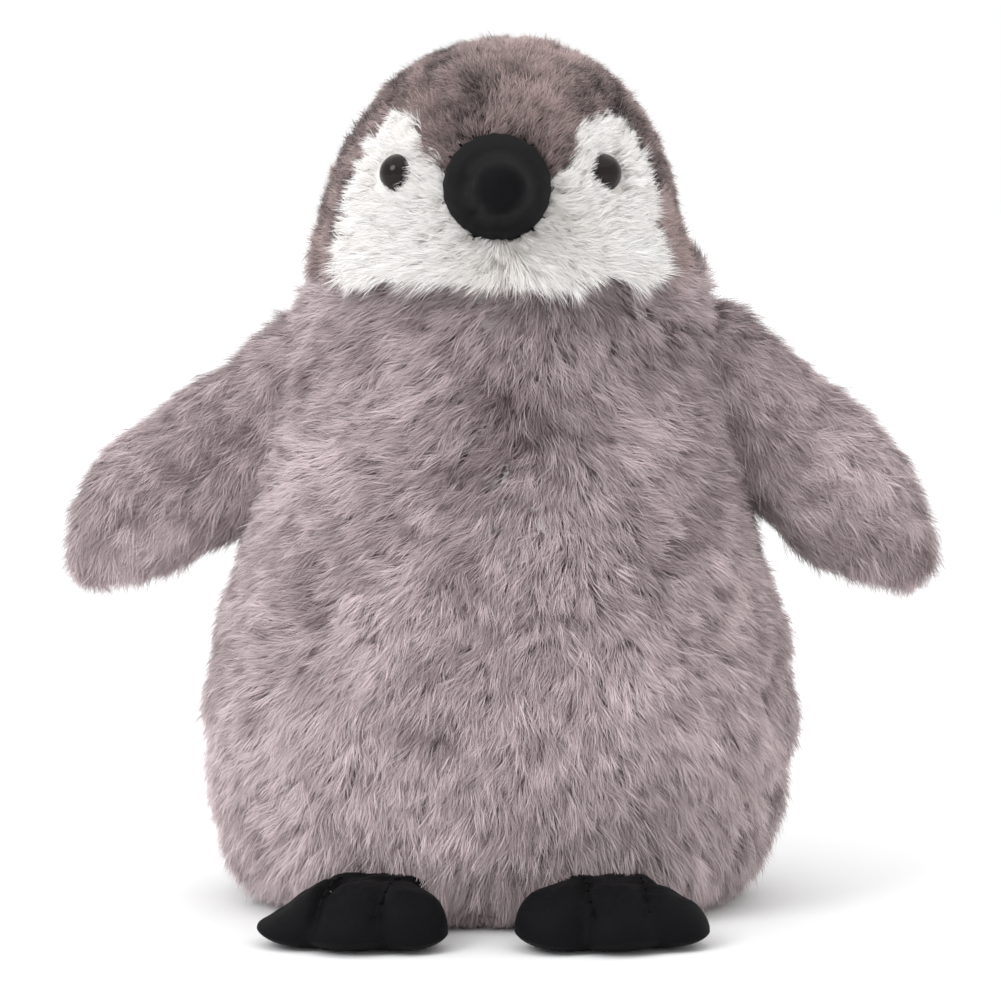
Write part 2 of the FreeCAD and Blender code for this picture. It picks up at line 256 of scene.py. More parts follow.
def patterned_material(name, dark, light, scale, roughness, grain, sheen=0.0, kind="noise", gloss=0.5):
    """A material whose colour, roughness and fine relief all come from one procedural texture."""
    material, shader = new_material(name)
    nodes, links = material.node_tree.nodes, material.node_tree.links
    place = nodes.new("ShaderNodeTexCoord")
    pattern, level = pattern_texture(nodes, kind)
    pattern.inputs["Scale"].default_value = scale
    links.new(place.outputs["Object"], pattern.inputs["Vector"])
    ramp = colour_ramp(nodes, dark, light)
    links.new(level, ramp.inputs["Fac"])
    links.new(ramp.outputs["Color"], shader.inputs["Base Color"])
    relief = nodes.new("ShaderNodeBump")
    relief.inputs["Strength"].default_value = grain
    relief.inputs["Distance"].default_value = 0.2 * MM
    links.new(level, relief.inputs["Height"])
    links.new(relief.outputs["Normal"], shader.inputs["Normal"])
    wear = nodes.new("ShaderNodeMapRange")
    wear.inputs["To Min"].default_value, wear.inputs["To Max"].default_value = roughness
    links.new(level, wear.inputs["Value"])
    links.new(wear.outputs["Result"], shader.inputs["Roughness"])
    shader.inputs["Sheen Weight"].default_value = sheen
    shader.inputs["Sheen Roughness"].default_value = 0.4
    shader.inputs["Specular IOR Level"].default_value = gloss
    return material


BODY_SHADES = hair_shades("body_hair", (0.170, 0.118, 0.120), (0.740, 0.625, 0.640))
CAP_SHADES = hair_shades("cap_hair", (0.025, 0.015, 0.014), (0.520, 0.396, 0.382))
FACE_SHADES = hair_shades("face_hair", (0.875, 0.820, 0.775), (0.925, 0.918, 0.906))
FUR_CLOTH = patterned_material(
    "fur_backing_cloth", (0.24, 0.18, 0.18), (0.34, 0.27, 0.27), 900, (0.8, 0.95), 0.6, kind="weave"
)
CAP_CLOTH = patterned_material(
    "cap_backing_cloth", (0.09, 0.06, 0.055), (0.16, 0.12, 0.11), 900, (0.8, 0.95), 0.6, kind="weave"
)
FACE_CLOTH = patterned_material(
    "face_backing_cloth", (0.74, 0.69, 0.64), (0.86, 0.83, 0.80), 900, (0.8, 0.95), 0.6, kind="weave"
)
VELOUR = patterned_material(
    "black_velour",
    (0.0012, 0.0012, 0.0016),
    (0.0034, 0.0033, 0.0045),
    1500,
    (0.6, 0.8),
    0.6,
    sheen=0.006,
    gloss=0.10,
)
EYE_PLASTIC = patterned_material(
    "eye_plastic", (0.004, 0.003, 0.002), (0.012, 0.007, 0.005), 90, (0.06, 0.10), 0.02, gloss=0.22
)
WASHER_PLASTIC = patterned_material(
    "washer_plastic", (0.62, 0.62, 0.60), (0.72, 0.72, 0.70), 300, (0.35, 0.5), 0.1
)
GREY_THREAD = patterned_material(
    "grey_thread", (0.22, 0.18, 0.18), (0.34, 0.29, 0.29), 2600, (0.6, 0.8), 0.8, kind="weave"
)
BLACK_THREAD = patterned_material(
    "black_thread",
    (0.002, 0.002, 0.003),
    (0.006, 0.006, 0.007),
    2600,
    (0.7, 0.9),
    0.8,
    kind="weave",
    gloss=0.1,
)
STUFFING = patterned_material(
    "polyester_fill", (0.70, 0.70, 0.69), (0.88, 0.88, 0.87), 160, (0.85, 0.98), 0.9
)
POUCH_CLOTH = patterned_material(
    "pouch_cloth", (0.60, 0.57, 0.52), (0.74, 0.71, 0.66), 1200, (0.8, 0.95), 0.6, kind="weave"
)
PELLETS = patterned_material(
    "pellets", (0.50, 0.52, 0.54), (0.86, 0.88, 0.90), 330, (0.25, 0.45), 0.9, kind="grains"
)


# ---------------------------------------------------------------------------------------------------
# Surfaces


def tree_of(nodes):
    """A search tree over the meshes of some CAD nodes."""
    points, faces = [], []
    for node in nodes:
        mesh = frame["nodes"][node].data
        start = len(points)
        points += [v.co.copy() for v in mesh.vertices]
        faces += [[start + i for i in p.vertices] for p in mesh.polygons]
    return BVHTree.FromPolygons(points, faces)


class Turned:
    """A surface turned about an axis and flattened along Y, with the profile that the CAD part has there.

    u goes once round it from 0 to 1, and v goes along it from 0 to 1.
    """

    def __init__(self, nodes, centre, axis, reach, flattening, closed=(False, True)):
        self.centre = np.array(centre, float)
        self.axis = np.array(axis, float)
        self.side = np.cross(BACKWARD, self.axis)
        self.flattening = flattening
        tree = tree_of(nodes)
        profile = []
        for along in np.linspace(*reach, PROFILE_ROWS):
            start = self.centre + self.axis * along + self.side * PROBE_OFFSET + BACKWARD
            hit = tree.ray_cast(Vector(start), Vector(FORWARD))[0]
            if hit is not None:
                depth = (hit.y - self.centre[1]) / flattening
                profile.append((math.hypot(PROBE_OFFSET, depth), along))
        if closed[0]:
            profile.insert(0, (0, reach[0]))
        if closed[1]:
            profile.append((0, reach[1]))
        self.set_profile(np.array(profile))
        self.tree = self.make_tree()

    def set_profile(self, profile):
        pieces = np.linalg.norm(np.diff(profile, axis=0), axis=1)
        reached = np.concatenate(([0], np.cumsum(pieces)))
        self.length = reached[-1]
        rows = np.linspace(0, 1, PROFILE_ROWS * 2)
        self.rows = rows
        self.radius = np.interp(rows * self.length, reached, profile[:, 0])
        self.along = np.interp(rows * self.length, reached, profile[:, 1])
        self.radius_slope = np.gradient(self.radius, rows * self.length)
        self.along_slope = np.gradient(self.along, rows * self.length)

    def at(self, u, v):
        """The points there, and the directions straight out of the surface."""
        angle = 2 * np.pi * u[..., None]
        radius, along, shrink, rise = (
            np.interp(v, self.rows, values)[..., None]
            for values in (self.radius, self.along, self.radius_slope, self.along_slope)
        )
        round_x, round_y = np.cos(angle), np.sin(angle)
        points = self.centre + self.axis * along + self.side * (radius * round_x)
        points = points + BACKWARD * (radius * round_y * self.flattening)
        normals = self.side * (rise * round_x) + BACKWARD * (rise * round_y / self.flattening)
        return points, unit(normals - self.axis * shrink)

    def scatter(self, spacing, rng):
        """Points spread evenly over the surface, one to each square of the spacing, and their normals."""
        columns = int(2 * np.pi * self.radius.max() / (1.5 * spacing))
        rows = int(self.length / (1.5 * spacing))
        corner_u, corner_v = np.meshgrid(np.linspace(0, 1, columns + 1), np.linspace(0, 1, rows + 1))
        corners = self.at(corner_u, corner_v)[0]
        along_u = corners[:-1, 1:] - corners[:-1, :-1]
        along_v = corners[1:, :-1] - corners[:-1, :-1]
        areas = np.linalg.norm(np.cross(along_u, along_v), axis=-1).ravel()
        count = int(areas.sum() / spacing**2)
        picks = (np.arange(count) + rng.random(count)) / count * areas.sum()
        cells = np.minimum(np.searchsorted(np.cumsum(areas), picks), areas.size - 1)
        row, column = np.divmod(cells, columns)
        u = (column + rng.random(count)) / columns
        v = (row + rng.random(count)) / rows
        return self.at(u, v)

    def make_tree(self, columns=180, rows=120):
        """A search tree over the whole surface, wound so that its normals point out."""
        u, v = np.meshgrid(np.arange(columns) / columns, np.linspace(0, 1, rows))
        points, normals = self.at(u, v)
        points, normals = points.reshape(-1, 3), normals.reshape(-1, 3)
        faces = ring_faces(rows, columns)
        a, b, d = points[faces[:, 0]], points[faces[:, 1]], points[faces[:, 3]]
        if dot(np.cross(b - a, d - a), normals[faces[:, 0]]).sum() < 0:
            faces = faces[:, ::-1]
        return BVHTree.FromPolygons([Vector(p) for p in points], faces.tolist())


def owners(points, nodes, reach):
    """The number of the nearest of the CAD nodes to each point, or -1 where none is within reach."""
    found = np.full(len(points), -1)
    nearest = np.full(len(points), reach)
    for number, node in enumerate(nodes):
        tree = tree_of([node])
        for i, point in enumerate(points):
            hit = tree.find_nearest(Vector(point), nearest[i])
            if hit[0] is not None and hit[3] < nearest[i]:
                nearest[i] = hit[3]
                found[i] = number
    return found


# ---------------------------------------------------------------------------------------------------
# Pile

MAX_HAIRS = 39000  # in one mesh
HAIR_STEPS = np.array([0.0, 0.36, 0.7, 1.0])  # where along a hair its points are
HAIR_WIDTHS = np.array([1.0, 0.95, 0.62])  # its width there, before its pointed tip

# A pile is made of locks, each of some tufts, each of some hairs:
# - depth, proud: how deep a hair's root lies, and how far its tip stands out of the closed pile
# - reach, width, spacing: a hair's length along the flow and its width, and the distance between locks
# - gather, tuft_gather: how much a lock and a tuft draw together towards their tips
# - curl, wild, spread: how far hairs sway, which share of tufts stands up, and how far hairs stray
# - patchy: how strong the dark patches are
# - darker_roots_and_shade: how many shades each part of a hair differs from its own, from its root to its
#   tip: the fur's darker roots, with painted shade deep in the pile
BODY_PILE = SimpleNamespace(
    depth=4.0 * MM,
    proud=0.2 * MM,
    reach=7.6 * MM,
    width=0.21 * MM,
    spacing=3.0 * MM,
    tufts=8,
    hairs=6,
    gather=0.40,
    tuft_gather=0.45,
    curl=1.7 * MM,
    wild=0.10,
    spread=0.24,
    patchy=1.7,
    darker_roots_and_shade=(-1, 0, 0),
)
CAP_PILE = SimpleNamespace(
    depth=3.0 * MM,
    proud=-0.6 * MM,
    reach=4.4 * MM,
    width=0.18 * MM,
    spacing=2.2 * MM,
    tufts=7,
    hairs=6,
    gather=0.40,
    tuft_gather=0.35,
    curl=1.3 * MM,
    wild=0.10,
    spread=0.45,
    patchy=2.5,
    darker_roots_and_shade=(-2, -1, 0),
)
FACE_PILE = SimpleNamespace(
    depth=3.0 * MM,
    proud=-0.2 * MM,
    reach=3.8 * MM,
    width=0.17 * MM,
    spacing=2.0 * MM,
    tufts=8,
    hairs=7,
    gather=0.12,
    tuft_gather=0.18,
    curl=0.7 * MM,
    wild=0.06,
    spread=0.40,
    patchy=0.35,
    darker_roots_and_shade=(-1, 0, 0),
)
FLIPPER_PILE = SimpleNamespace(
    depth=3.2 * MM,
    proud=0.2 * MM,
    reach=8.0 * MM,
    width=0.20 * MM,
    spacing=2.9 * MM,
    tufts=8,
    hairs=6,
    gather=0.48,
    tuft_gather=0.50,
    curl=2.4 * MM,
    wild=0.16,
    spread=0.30,
    patchy=2.1,
    darker_roots_and_shade=(-1, 0, 0),
)
TUFT_RADIUS = 0.55 * MM
FLOOR_GAP = 0.3 * MM

# The usual shade of each part's hair, as a place in its list of shades
BODY_SHADE = 3.9
CAP_SHADE = 3.3
FACE_SHADE = 4.6
# the left flipper, away from the key light, is put darker as painted shade
FLIPPER_SHADE = {"left": 2.8, "right": 3.9}

turn_slow = Noise(11, 70 * MM)
turn_fast = Noise(12, 22 * MM)
tone_slow = Noise(13, 45 * MM)
tone_fast = Noise(14, 12 * MM)
height_slow = Noise(15, 26 * MM)


def lean(normals, flow):
    """The flow, laid along the surface."""
    return unit(flow - normals * dot(flow, normals))


def ruffled(points, normals, flow, slow, fast):
    """The flow turned about the normals by smooth noise, by about slow and fast radians."""
    turn = (slow * turn_slow(points) + fast * turn_fast(points))[:, None]
    return flow * np.cos(turn) + np.cross(normals, flow) * np.sin(turn)


def disc(rng, shape, radius):
    """Places in a disc: how far along the flow, and how far across it."""
    distance = np.sqrt(rng.random(shape)) * radius
    bearing = rng.random(shape) * 2 * np.pi
    return distance * np.cos(bearing), distance * np.sin(bearing)


def grow(pile, roots, normals, flow, rng, scale=None):
    """Locks of tufts of hair. Returns each hair's points along its length and which way its width lies."""
    locks = len(roots)
    scale = (np.ones(locks) if scale is None else scale).reshape(-1, 1, 1, 1)
    across = np.cross(normals, flow)
    lock, tuft, hair = (locks, 1, 1, 1), (locks, pile.tufts, 1, 1), (locks, pile.tufts, pile.hairs, 1)
    steps = HAIR_STEPS[None, None, None, :]

    def varied(per_lock, per_tuft, per_hair):
        spread = per_lock * rng.normal(size=lock) + per_tuft * rng.normal(size=tuft)
        return spread + per_hair * rng.normal(size=hair)

    lift = 1 + varied(0.10, 0.12, 0.12)
    lift = np.where(rng.random(tuft) < pile.wild, lift * 1.3, lift) * scale
    length = np.clip(1 + varied(0.12, 0.12, 0.12), 0.45, 1.5) * scale
    sway = pile.curl * varied(0.75, 0.55, 0.35)
    droop = pile.depth * 0.35 * np.clip(varied(0.8, 0.6, 0), -1, 1.2)
    tuft_run, tuft_aside = disc(rng, tuft, pile.spacing * 0.85)
    hair_run, hair_aside = disc(rng, hair, TUFT_RADIUS)
    lock_gather = 1 - pile.gather * steps**1.4
    tuft_gather = 1 - pile.tuft_gather * steps**1.2
    rise = (pile.depth + pile.proud) * lift * (1 - (1 - steps) ** 1.6) - droop * steps**3
    astray = varied(0.5, 0.7, 0.5) * pile.spread
    reach = pile.reach * length * steps**1.25
    run = reach * np.cos(astray) + tuft_run * lock_gather + hair_run * tuft_gather
    aside = sway * steps**2 + reach * np.sin(astray)
    aside = aside + tuft_aside * lock_gather + hair_aside * tuft_gather

    def each(vectors):
        return vectors[:, None, None, None, :]

    lines = each(roots - normals * pile.depth) + each(normals) * rise[..., None]
    lines = lines + each(flow) * run[..., None] + each(across) * aside[..., None]
    lines[..., 2] = np.maximum(lines[..., 2], FLOOR_GAP)
    roll = (rng.normal(size=hair) * 0.75)[..., None]
    widths = np.broadcast_to(each(across) * np.cos(roll) + each(normals) * np.sin(roll), lines.shape)
    return lines.reshape(-1, len(HAIR_STEPS), 3), widths.reshape(-1, len(HAIR_STEPS), 3)


def shade_numbers(points, pile, rng, count, base):
    """Which shade each hair has, from smooth noise and from its lock, its tuft and itself."""
    patches = pile.patchy * (0.8 * tone_slow(points) + 0.9 * tone_fast(points))
    level = base + patches + 0.45 * rng.normal(size=len(points))
    level = np.repeat(level, pile.tufts)
    level = np.repeat(level + 0.5 * rng.normal(size=level.size), pile.hairs)
    level = level + 0.7 * rng.normal(size=level.size)
    return np.clip(np.round(level), 0, count - 1).astype(int)


def hair_piece(name, lines, widths, shades, numbers, pile):
    """One mesh of tapering ribbons, each in up to three shades from its root to its tip."""
    count = len(lines)
    across = np.diff(HAIR_STEPS).size
    half = widths[:, :across] * (HAIR_WIDTHS[None, :, None] * pile.width / 2)
    left, right = lines[:, :across] - half, lines[:, :across] + half
    points = np.concatenate([np.stack([left, right], axis=2).reshape(count, -1, 3), lines[:, -1:]], axis=1)
    first = np.arange(count)[:, None] * points.shape[1]
    corners = first + np.array([[0, 1, 3, 2, 2, 3, 5, 4, 4, 5, 6]])
    sizes = np.tile([4, 4, 3], count)
    # darker roots: the fur's own, and painted shade deep in the pile between the locks
    slots = np.clip(numbers[:, None] + np.array([pile.darker_roots_and_shade]), 0, len(shades) - 1)
    return make_mesh(name, points.reshape(-1, 3), corners.ravel(), sizes, shades, slots.ravel())


def pile_pieces(name, body, slot, hair, shades, numbers, pile):
    """The hairs of one panel, as meshes of a size that can be handled."""
    lines, widths = hair
    parts = max(1, math.ceil(len(lines) / MAX_HAIRS))
    edges = np.linspace(0, len(lines), parts + 1).astype(int)
    for part, (start, end) in enumerate(zip(edges, edges[1:])):
        chosen = slice(start, end)
        piece = hair_piece(
            f"{name}_{part + 1}", lines[chosen], widths[chosen], shades, numbers[chosen], pile
        )
        finish_piece(piece, body, slot)


# ---------------------------------------------------------------------------------------------------
# Cloth panels under the pile

CLOTH = 1 * MM
FLIPPER_CLOTH = 0.7 * MM
FLIPPER_CLOTH_DEPTH = 1.9 * MM


def shaped_copy(node, name, material, body, slot, shape=None):
    """A piece with a CAD node's own mesh, put in the node's place, after a change of its points."""
    mesh = frame["nodes"][node].data.copy()
    mesh.name = name
    mesh.materials.clear()
    mesh.materials.append(material)
    if shape is not None:
        points = np.zeros(len(mesh.vertices) * 3, np.float32)
        mesh.vertices.foreach_get("co", points)
        moved = shape(points.reshape(-1, 3).astype(float))
        mesh.vertices.foreach_set("co", moved.astype(np.float32).ravel())
    mesh.shade_smooth()
    piece = bpy.data.objects.new(name, mesh)
    bpy.context.scene.collection.objects.link(piece)
    return finish_piece(piece, body, slot, node)


def cloth_panel(node, surface, pile_depth, thickness, material, body, slot, shape=None):
    """The backing cloth of a fur panel: the panel's own outline, under its pile."""
    whole = pile_depth + thickness

    def under_pile(points):
        for i, point in enumerate(points):
            outward, _, distance = surface.tree.find_nearest(Vector(point))[1:]
            points[i] -= np.array(outward) * pile_depth * (1 - min(distance / whole, 1))
        return points if shape is None else shape(points)

    piece = shaped_copy(node, node.replace("panel", "cloth"), material, body, slot, under_pile)


# ---------------------------------------------------------------------------------------------------
# Body

# The hair at the whorl is also put darker, as painted shade
WHORL_X, WHORL_Z, WHORL_SIZE = 16 * MM, 137 * MM, 15 * MM  # high on the chest
SWIRL_X, SWIRL_Z, SWIRL_SIZE = -56 * MM, 84 * MM, 15 * MM  # low on the right side
# How strongly the hair hangs, fans out of the whorl and stands up in the swirl, against its distance
# from the whorl
HANG, WHORL_FAN, SWIRL_RISE = 14 * MM, 26 * MM, 60 * MM
# The parting is a line of painted shade across the front, where the hair parts
PARTING = [np.array([-6.0, 166.0]) * MM, np.array([7.0, 144.0]) * MM]  # the ends of a dark line, in X and Z
PARTING_WIDTH = 7 * MM
SIDE_SEAM_Y = 10 * MM
GROOVE_Y, GROOVE_WIDTH = -5 * MM, 4 * MM
GROOVE_DEPTH = 2.4 * MM
BULGE = 1.2 * MM  # how far the back stands out behind the groove
WAIST_Z, WAIST_TALL, WAIST_DRAWN_IN = 108 * MM, 34 * MM, 3.4 * MM
HIP_Z, HIP_TALL = 26 * MM, 20 * MM
HIP_SWELL = {"left": -1.0 * MM, "right": 2.4 * MM}
SHOULDER_SWELL = {"left": 4.0 * MM, "right": -0.5 * MM}
UNEVENNESS = 1.0 * MM  # how far the stuffing makes the fur stand in and out
OVER_FEET_Z = 45 * MM


def whorl_flow(points):
    """Hair on the front: down to a whorl high on the chest and out of it, then down and outwards."""
    beside = points[:, 0] - WHORL_X
    above = points[:, 2] - WHORL_Z
    low = step(95 * MM, 15 * MM, points[:, 2])
    flow = np.zeros_like(points)
    flow[:, 0] = beside * (1 - 0.45 * low)
    flow[:, 2] = -(HANG + 1.2 * np.abs(above))
    near = bump(np.hypot(beside, above), 0, WHORL_SIZE)
    flow[:, 0] += near * WHORL_FAN * np.tanh(above / (9 * MM))
    aside = bump(np.hypot(points[:, 0] - SWIRL_X, points[:, 2] - SWIRL_Z), 0, SWIRL_SIZE)
    flow[:, 2] += aside * SWIRL_RISE
    return unit(flow)


def body_flow(points):
    """The front's flow, the back's, and fringes that stand up at the shoulders and the neck."""
    flow = whorl_flow(points)
    behind = step(-5 * MM, 30 * MM, points[:, 1])[:, None]
    beside = np.sign(points[:, :1])
    back = -UPWARD + 0.25 * beside * RIGHTWARD
    outward = BACKWARD * step(20 * MM, 70 * MM, np.abs(points[:, :1])) * 0.4
    shoulder = step(166 * MM, 180 * MM, points[:, 2:]) * step(40 * MM, 54 * MM, np.abs(points[:, :1]))
    neck = step(172 * MM, 182 * MM, points[:, 2:]) * behind * UPWARD * 2
    fringe = shoulder * (UPWARD * 0.9 + beside * RIGHTWARD)
    return flow * (1 - behind) + back * behind + outward + fringe + neck


def side_groove(points):
    """How near each point is to the groove low on the left side, where the back bulges past the seam."""
    low = step(92 * MM, 68 * MM, points[:, 2]) * (points[:, 0] > 0)
    return bump(points[:, 1], GROOVE_Y, GROOVE_WIDTH) * low


def body_swell(points):
    """How far the stuffed shape stands out of the plain one: drawn in under the flippers, full low down."""
    x, y, z = points.T
    low_aside, high_aside = step(40 * MM, 80 * MM, np.abs(x)), step(30 * MM, 50 * MM, np.abs(x))
    waist = WAIST_DRAWN_IN * bump(z, WAIST_Z, WAIST_TALL)
    hip = np.where(x < 0, HIP_SWELL["right"], HIP_SWELL["left"]) * bump(z, HIP_Z, HIP_TALL)
    shoulder = np.where(x < 0, SHOULDER_SWELL["right"], SHOULDER_SWELL["left"])
    shoulder = shoulder * step(160 * MM, 178 * MM, z)
    bulge = BULGE * step(GROOVE_Y, GROOVE_Y + 2 * GROOVE_WIDTH, y) * bump(z, 40 * MM, 32 * MM) * (x > 0)
    swell = low_aside * (hip - waist + bulge) + high_aside * shoulder
    return swell - GROOVE_DEPTH * side_groove(points)


def from_line(points, start, end):
    """How far the points are from a line across the front."""
    along = end - start
    offset = points[:, [0, 2]] - start
    share = np.clip(offset @ along / (along @ along), 0, 1)
    return np.linalg.norm(offset - share[:, None] * along, axis=1)


def painted_body_shading(points):
    """How many shades darker the hair is put: painted shade where it parts and shows its darker roots,
    under the head, away from the light and in the side groove, less painted light low down towards the
    light.
    """
    x, y, z = points.T
    whorl = bump(np.hypot(x - WHORL_X, z - WHORL_Z), 0, WHORL_SIZE + 2 * MM)
    parting = bump(from_line(points, *PARTING), 0, PARTING_WIDTH)
    # painted shade on the side away from the key light, and painted light low on the side towards it
    shaded = step(10 * MM, 60 * MM, x) * step(90 * MM, 120 * MM, z)
    lit = step(0, -40 * MM, x) * step(85 * MM, 50 * MM, z)
    # painted shade high on the chest, under the head
    upper = step(95 * MM, 120 * MM, z)
    # painted shade in the whorl and along the parting, where the hair also shows its darker roots, and in
    # the side groove
    front = (y < 0) * (2.0 * whorl + 1.6 * parting)
    return front + 0.35 * upper + 0.7 * shaded - 0.6 * lit + 1.8 * side_groove(points)


def make_body():
    nodes = ["body_back_panel_left", "body_base_panel"]
    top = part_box("body_front_panel")[1].z
    reach = (SURFACE_INSET, top - SURFACE_INSET)
    centre = (0, BODY_CENTRE_Y, 0)
    surface = Turned(nodes, centre, UPWARD, reach, BODY_FLATTENING, closed=(False, False))
    rng = np.random.default_rng(1)
    roots, normals = surface.scatter(BODY_PILE.spacing, rng)
    over_feet = (roots[:, 2] < OVER_FEET_Z) & (roots[:, 1] < 0)
    front = (roots[:, 1] < SIDE_SEAM_Y) | over_feet
    panel = np.where(front, 0, np.where(roots[:, 0] > 0, 1, 2))
    flow = lean(normals, ruffled(roots, normals, body_flow(roots), 0.3, 0.35))
    # painted shade and painted light on the body, as shades of the hair
    painted_shading = painted_body_shading(roots)
    longer = 1 + 0.3 * over_feet * bump(roots[:, 2], 20 * MM, 8 * MM)
    roots = roots + normals * (height_slow(roots) * UNEVENNESS + body_swell(roots))[:, None]
    for number, node in enumerate(BODY_PANELS):
        mine = panel == number
        place = roots[mine]
        hair = grow(BODY_PILE, place, normals[mine], flow[mine], rng, longer[mine])
        numbers = shade_numbers(place, BODY_PILE, rng, len(BODY_SHADES), BODY_SHADE - painted_shading[mine])
        name = node.replace("_panel", "_fur")
        pile_pieces(name, "torso", "body_fur", hair, BODY_SHADES, numbers, BODY_PILE)
        cloth_panel(node, surface, BODY_PILE.depth, CLOTH, FUR_CLOTH, "torso", "body_fur")
    base = shaped_copy("body_base_panel", "body_base_cloth", FUR_CLOTH, "torso", "body_fur")


# ---------------------------------------------------------------------------------------------------
# Head

EYE_CLEARANCE = 5.6 * MM
EYE_TALL = 0.76  # the hair is kept further from each eye above and below it than beside it
EYE_COVERED = 1.6 * MM  # how far the hair is let over each eye on the beak's side
HOLLOW = 1.9 * MM  # how far the crown is drawn in, high on its right
# Painted shade in the crease under the beak: where it lies, and how many shades darker the hair is put
CREASE_X, CREASE_WIDTH = 1 * MM, 4 * MM  # under the beak, where the cheeks meet
CREASE_PAINTED_SHADE = 2.2
OWN_PANEL, SEEN_PANEL = 1.4 * MM, 3 * MM  # how far a root and a hair's visible end may be from a panel


def away_from_beak(points):
    """Hair on the head: swept back from the beak all round."""
    return unit(points - BEAK_ROOT)


def eye_centre(side):
    low, high = (np.array(corner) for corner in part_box(f"eye_{side}"))
    outward = np.array([SIDES[side] * math.sin(EYE_TURN), -math.cos(EYE_TURN), 0])
    temple = np.array([SIDES[side] * math.cos(EYE_TURN), math.sin(EYE_TURN), 0])
    return (low + high) / 2 + outward * EYE_DOME + temple * EYE_COVERED


def clear_of_eyes(points, flow, reach):
    """Leaves out the hair that would lie over an eye."""
    clear = np.ones(len(points), bool)
    for side in SIDES:
        for share, clearance in ((0.0, EYE_CLEARANCE), (0.55, EYE_CLEARANCE * 0.72)):
            offset = points + flow * reach * share - eye_centre(side)
            offset[:, 2] *= EYE_TALL
            clear &= np.linalg.norm(offset, axis=1) > clearance
    return clear


def fur_of(node):
    """The pile, the usual shade, the shades, the cloth and the slot of one of the head's panels."""
    if node in FACE_PANELS:
        return FACE_PILE, FACE_SHADE, FACE_SHADES, FACE_CLOTH, "face_fur"
    return CAP_PILE, CAP_SHADE, CAP_SHADES, CAP_CLOTH, "cap_fur"


def crease_painted_shade(points):
    """How many shades darker the face is put in the crease under the beak, as painted shade."""
    low = step(200 * MM, 192 * MM, points[:, 2])
    return CREASE_PAINTED_SHADE * bump(points[:, 0], CREASE_X, CREASE_WIDTH) * low


def make_head():
    bottom = joint_place("head_turn")[2]
    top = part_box("crown_panel")[1].z
    nodes = ["crown_panel", "head_side_panel_left"]
    centre = (0, HEAD_CENTRE_Y, bottom)
    surface = Turned(nodes, centre, UPWARD, (SURFACE_INSET, top - bottom - 0.02 * MM), HEAD_FLATTENING)
    rng = np.random.default_rng(2)
    roots, normals = surface.scatter(CAP_PILE.spacing, rng)
    flow = lean(normals, ruffled(roots, normals, away_from_beak(roots), 0.35, 0.45))
    seen = roots + flow * FACE_PILE.reach * 0.95
    on_head = owners(roots, HEAD_PANELS, OWN_PANEL) >= 0
    panel = np.where(on_head, owners(seen, HEAD_PANELS, SEEN_PANEL), -1)
    keep = clear_of_eyes(roots, flow, FACE_PILE.reach)
    roots, normals, panel, flow = roots[keep], normals[keep], panel[keep], flow[keep]
    hollow = HOLLOW * step(5 * MM, -25 * MM, roots[:, 0]) * step(200 * MM, 225 * MM, roots[:, 2])
    roots = roots + normals * (0.6 * UNEVENNESS * height_slow(roots) - hollow)[:, None]
    longer = 1 + 0.9 * step(200 * MM, 186 * MM, roots[:, 2])
    for number, node in enumerate(HEAD_PANELS):
        kind, shade, shades, cloth, slot = fur_of(node)
        mine = panel == number
        place = roots[mine]
        hair = grow(kind, place, normals[mine], flow[mine], rng, longer[mine])
        # painted shade in the crease under the beak
        painted_shading = crease_painted_shade(place) if node in FACE_PANELS else 0
        numbers = shade_numbers(place, kind, rng, len(shades), shade - painted_shading)
        name = node.replace("_panel", "_fur")
        pile_pieces(name, "head", slot, hair, shades, numbers, kind)
        cloth_panel(node, surface, kind.depth, CLOTH, cloth, "head", slot)


# ---------------------------------------------------------------------------------------------------
# Beak


THREAD_SINK = 1.8 * MM  # how deep the beak's stitches lie in the pile of the face
BEAK_COLUMNS = 144
BEAK_GATHERS = 22  # small gathers round the sewn rim
BEAK_TIP_ASIDE, BEAK_TIP_RISE = 1.4 * MM, 0.8 * MM
BEAK_FILL = np.array([0.86, 0.94, 0.86])  # how much of the cover its stuffing takes up
# Folds: how deep, at which angle and how wide, how far along the beak and over how much of it
BEAK_FOLDS = [
    (1.2 * MM, math.radians(225), 0.16, 0.62, 0.22),
    (0.9 * MM, math.radians(165), 0.18, 0.66, 0.18),
]


def beak_outline(radius, length):
    """How wide the beak is at each distance from its rim: straight at first, then a blunt cone."""
    return rounded(
        [
            (radius * 0.97, 0),
            (radius, 4 * MM),
            (radius * 0.98, 8 * MM),
            (radius * 0.85, 13.5 * MM),
            (radius * 0.67, 18 * MM),
            (radius * 0.56, 22.5 * MM),
            (radius * 0.46, 27 * MM),
            (radius * 0.29, length * 0.99),
            (0, length),
        ]
    )


def beak_dents(angle, share):
    """How far the velour is drawn in by its folds, by the gathers at the rim and by the seam underneath."""
    folds = sum(
        depth * bump(angle, turn, width) * bump(share, along, run)
        for depth, turn, width, along, run in BEAK_FOLDS
    )
    gathers = 0.16 * MM * np.sin(angle * BEAK_GATHERS) * step(0.35, 0.05, share)
    seam = 0.35 * MM * bump(angle, math.radians(270), 0.05) * step(0.98, 0.8, share)
    return folds + gathers + seam


